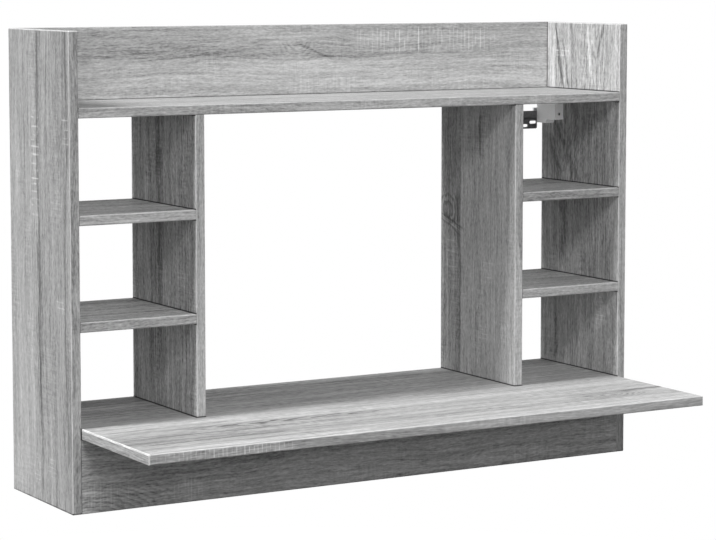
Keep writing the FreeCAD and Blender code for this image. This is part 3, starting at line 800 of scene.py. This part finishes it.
oak_board("side_panel_right", "upright", 2, panel_edges, drift=0.06, grain=1.25, edge_tone=0.18,
          strips=((-PANEL_HALF, 0.08), (50, 0.06), (60, -0.02), (74, -0.04), (77, 0.2), (PANEL_HALF, 0.2)),
          veins=[dict(across=60, slant=0.25, start=230, stop=370, width=5, tone=-0.7),
                 dict(across=40, slant=0.2, start=230, stop=330, width=4, tone=-0.5),
                 dict(across=-30, slant=0.1, start=250, stop=360, width=5, tone=0.5),
                 dict(across=-58, slant=-0.3, start=290, stop=370, width=4, tone=-0.5),
                 dict(across=45, slant=-0.1, start=-60, stop=70, width=16, tone=-0.28),
                 dict(across=70, slant=0.1, start=-229, stop=-86, width=6, tone=-0.3),
                 dict(across=43, slant=0.65, start=85, stop=210, width=15, tone=-0.25),
                 dict(across=72, slant=0.5, start=90, stop=180, width=11, tone=-0.25),
                 dict(across=-50, start=-90, stop=225, width=100, tone=-0.2),
                 dict(across=65, start=60, stop=225, width=60, tone=-0.18)],
          rings=[dict(heart=42, tip=120, slope=0.4, ring=9, reach=110, spread=56, **PANEL_WIDTH,
                      tone=-0.22),
                 dict(heart=-40, tip=270, slope=-0.12, ring=6, reach=120, spread=40, **PANEL_WIDTH,
                      tone=-0.3)],
          marks=[dict(start=296, stop=320, low=28, high=76, pitch=8.5, tone=0.8),
                 dict(start=-160, stop=-92, low=-78, high=-48, pitch=6.5, tone=0.6)])
oak_board("divider_left", "upright", 3, (corner_highlight,), grain=1.6,
          strips=((-PANEL_HALF, 0.05), (0, 0.04), (3, -0.08), (28, -0.1), (33, 0.03), (PANEL_HALF, 0.02)),
          veins=[dict(across=14, start=-120, stop=240, width=9, tone=-0.32)],
          rings=[dict(heart=20, tip=-40, slope=0.05, ring=6, reach=160, spread=40, **PANEL_WIDTH,
                      tone=-0.35)],
          marks=[dict(start=130, stop=215, low=22, high=52, pitch=8, tone=0.5),
                 dict(start=-40, stop=-10, low=-90, high=-35, pitch=8, tone=0.35)])
oak_board("divider_right", "upright", 4, (corner_highlight,), drift=-0.05, grain=1.15,
          strips=((-PANEL_HALF, 0.18), (0, 0.1), (49, 0.1), (52, -0.22), (PANEL_HALF, -0.1)),
          veins=[dict(across=-8, start=130, stop=215, width=5, tone=-0.4),
                 dict(across=50, start=-228, stop=130, width=4, tone=-0.3),
                 dict(across=57, start=-30, stop=90, width=6, tone=-0.35),
                 dict(across=80, slant=3.4, start=8, stop=45, width=10, tone=-0.8),
                 dict(across=80, slant=3.4, start=1, stop=38, width=6, tone=0.5),
                 dict(across=72, slant=1.9, start=-6, stop=32, width=6, tone=-0.5)],
          rings=[dict(heart=90, tip=44, oval=1.0, ring=10, reach=36, spread=46, low=52, high=PANEL_HALF,
                      tone=-0.45)],
          marks=[dict(start=-70, stop=-30, low=-56, high=-10, pitch=7, tone=0.4),
                 dict(start=-170, stop=-134, low=-36, high=-4, pitch=6, tone=0.5),
                 dict(start=-110, stop=-88, low=16, high=58, pitch=8, tone=0.4),
                 dict(start=-66, stop=4, low=54, high=100, pitch=14, tone=0.6)])

# %% [markdown]
# The shelves and the desk board lie flat, with the grain along the wall. Their front edges carry a painted
# highlight above and painted shade below. The desk board's ends are free, so a painted highlight goes on
# along them too. Its top is painted lighter in front and darker at the back, partly as its print's strips
# and partly as the shade under the top shelf. It shows a row of dark flames left of the middle and a knot
# near the right end, and its streaks are drawn out longer than on the other boards.

# %% Oak on the level boards
# The brightest painted highlight, along the desk board's left end.
BRIGHT_HIGHLIGHT = 1.0
front_lines = (((0, -1, 1), THIN, PAINTED_HIGHLIGHT, 0.35), ((0, -1, -1), THIN, PAINTED_SHADE, 0.35))
desk_lines = (((0, -1, 1), THIN, PAINTED_HIGHLIGHT, 0.6), ((0, -1, -1), THIN, PAINTED_SHADE, 0.35),
              ((-1, 0, 1), BOLD, BRIGHT_HIGHLIGHT, 0.9), ((-1, -1, 0), THIN, PAINTED_HIGHLIGHT, 0.6),
              ((1, 0, 1), THIN, PAINTED_HIGHLIGHT, 0.5))
DESK_HALF = 227
DESK_WIDTH = dict(low=-DESK_HALF, high=DESK_HALF)
FIRST_SMALL_SHELF = 7
small_shelves = [name for name in BOARDS if "_shelf_" in name]

oak_board("top_shelf", "level", 5, front_lines,
          edge_marks=[dict(start=300, stop=360, low=-8, high=8, pitch=8, tone=0.35)])
# The desk's strips are partly the print's strips and partly painted shade: lighter in front, darker at the
# back under the top shelf.
oak_board("desk_board", "level", 6, desk_lines, drift=0.12, grain=1.1, stretch=2.0,
          strips=((-DESK_HALF, 0.18), (-190, 0.14), (-160, 0.02), (-75, 0.04), (-45, 0.2),
                  (-10, 0.14), (10, 0), (60, -0.06), (130, -0.2), (DESK_HALF, -0.22)),
          rings=[dict(heart=-80, tip=-200, slope=0.15, ring=8, reach=200, spread=20, **DESK_WIDTH,
                      tone=-0.65),
                 dict(heart=-140, tip=365, slope=-0.15, oval=0.35, ring=5, reach=80, spread=40,
                      **DESK_WIDTH, tone=-0.45)],
          veins=[dict(across=-118, slant=0.05, start=390, stop=500, width=12, tone=-0.5),
                 dict(across=-60, start=-300, stop=200, width=10, tone=0.12),
                 dict(across=-50, slant=0.02, start=-490, stop=-250, width=6, tone=-0.3),
                 dict(across=-112, slant=0.02, start=-490, stop=-180, width=5, tone=-0.3),
                 dict(across=-165, slant=0.03, start=-470, stop=-220, width=5, tone=-0.35),
                 dict(across=-205, start=-480, stop=-100, width=8, tone=0.25)],
          edge_marks=[dict(start=-490, stop=-235, low=-9, high=9, pitch=7, tone=0.8),
                      dict(start=118, stop=148, low=-8, high=8, pitch=9, tone=0.4)])
for seed, name in enumerate(small_shelves, FIRST_SMALL_SHELF):
    oak_board(name, "level", seed, front_lines, grain=1.5,
              strips=((-PANEL_HALF, 0.06), (0, 0), (PANEL_HALF, -0.12)))

# %% [markdown]
# The two rails stand on edge, with the grain along the wall as well. The back rail shows a joint between
# two printed strips. In the upper one the grain climbs to a knot, and a patch of saw marks further right
# ends at the joint. The front rail is painted darker above, as the shade under the desk board, and has a
# painted shade line along its bottom front edge.

# %% Oak on the rails
RAIL_HALF = 56
RAIL_WIDTH = dict(low=-RAIL_HALF, high=RAIL_HALF)

oak_board("back_rail", "rail", 11, (), joint=0.3, drift=0.06,
          strips=((-RAIL_HALF, 0.2), (4.5, 0.18), (6.5, 0.01), (RAIL_HALF, 0.09)),
          rings=[dict(heart=26, tip=-6, oval=0.7, ring=5, reach=44, spread=34, low=6, high=30,
                      tone=-0.25),
                 dict(heart=-40, tip=-210, slope=0.06, ring=7, reach=230, spread=100, low=5, high=42,
                      tone=-0.2)],
          veins=[dict(across=10, slant=0.07, start=-330, stop=-50, width=3, tone=-0.15),
                 dict(across=13, slant=-0.37, start=-20, stop=66, width=3, tone=-0.35),
                 dict(across=3, start=30, stop=150, width=3, tone=-0.35)],
          marks=[dict(start=75, stop=400, low=5, high=54, pitch=7.5, tone=0.75)])
# The strips paint shade under the desk board: darker towards the top, lighter towards the bottom.
oak_board("front_rail", "rail", 12, (((0, -1, 1), THIN, PAINTED_SHADE, 0.4),), grain=1.15,
          strips=((-RAIL_HALF, 0.14), (-10, 0.1), (25, -0.1), (RAIL_HALF, -0.24)),
          rings=[dict(heart=-66, tip=-480, slope=0.05, oval=0.45, ring=5, reach=190, spread=70,
                      **RAIL_WIDTH, tone=-0.4),
                 dict(heart=-78, tip=150, oval=0.22, ring=5, reach=120, spread=44, **RAIL_WIDTH,
                      tone=-0.4)],
          marks=[dict(start=-485, stop=-400, low=-RAIL_HALF, high=-6, pitch=5, tone=0.4),
                 dict(start=-340, stop=-280, low=-RAIL_HALF, high=-16, pitch=6, tone=0.5)])

# %% [markdown]
# The hanger is a small mechanism of plated and cast metal in a housing of dull, light grey metal, and
# beech dowels join the boards. Each could have a recipe of its own, but at this size all that shows is
# a base colour, a faint cloud of crystals, casting grain or wood in it, and a roughness that follows
# the cloud. So one function makes them all.

# %% Finish of the metal parts and dowels
CLOUD_DETAIL = 4.0
CLOUD_RANGE = (0.3, 0.7)
FINE_RELIEF = 0.0001
FINISHES = {
    "zinc_steel": dict(colour=(0.74, 0.75, 0.76), spread=0.1, cell=1.2, metal=1.0, rough=0.55,
                       rough_spread=0.2, relief=0.15),
    "cast_zinc": dict(colour=(0.50, 0.51, 0.52), spread=0.08, cell=0.5, metal=1.0, rough=0.6,
                      rough_spread=0.2, relief=0.3),
    "housing_grey": dict(colour=(0.88, 0.88, 0.88), spread=0.06, cell=0.8, metal=1.0, rough=0.9,
                         rough_spread=0.1, relief=0.2),
    "dark_steel": dict(colour=(0.21, 0.21, 0.215), spread=0.2, cell=2.5, metal=1.0, rough=0.4,
                       rough_spread=0.2, relief=0.2),
    "beech": dict(colour=(0.62, 0.45, 0.29), spread=0.12, cell=0.9, metal=0.0, rough=0.5,
                  rough_spread=0.15, relief=0.2),
}


def cloudy_finish(name, colour, spread, cell, metal, rough, rough_spread, relief):
    """A colour with a faint cloud, its cells in mm, a roughness that follows it, and a fine relief."""
    finish = bpy.data.materials.new(name)
    finish.use_nodes = True
    tree = finish.node_tree
    shader = tree.nodes["Principled BSDF"]
    place = tree.nodes.new("ShaderNodeMapping")
    place.inputs["Scale"].default_value = (MM / cell, MM / cell, MM / cell)
    feed(tree, place.inputs["Vector"], tree.nodes.new("ShaderNodeTexCoord").outputs["Object"])
    cloud = speckle(tree, place.outputs["Vector"], CLOUD_DETAIL)
    ramp = tree.nodes.new("ShaderNodeValToRGB")
    for stop, position, gain in zip(ramp.color_ramp.elements, CLOUD_RANGE, (1 - spread, 1 + spread)):
        stop.position = position
        stop.color = (*(min(part * gain, 1) for part in colour), 1)
    feed(tree, ramp.inputs["Fac"], cloud)
    feed(tree, shader.inputs["Base Color"], ramp.outputs["Color"])
    feed(tree, shader.inputs["Roughness"], calc(tree, "MULTIPLY_ADD", cloud, rough_spread, rough))
    shader.inputs["Metallic"].default_value = metal
    bump = tree.nodes.new("ShaderNodeBump")
    bump.inputs["Strength"].default_value = relief
    bump.inputs["Distance"].default_value = FINE_RELIEF
    feed(tree, bump.inputs["Height"], cloud)
    feed(tree, shader.inputs["Normal"], bump.outputs["Normal"])
    return finish


finishes = {name: cloudy_finish(name, **values) for name, values in FINISHES.items()}
for name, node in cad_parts.items():
    for slot in node.material_slots:
        slot_name = slot.material.name.split(".")[0]
        slot.material = finishes.get(slot_name, slot.material)
    print(name, [slot.material.name for slot in node.material_slots])
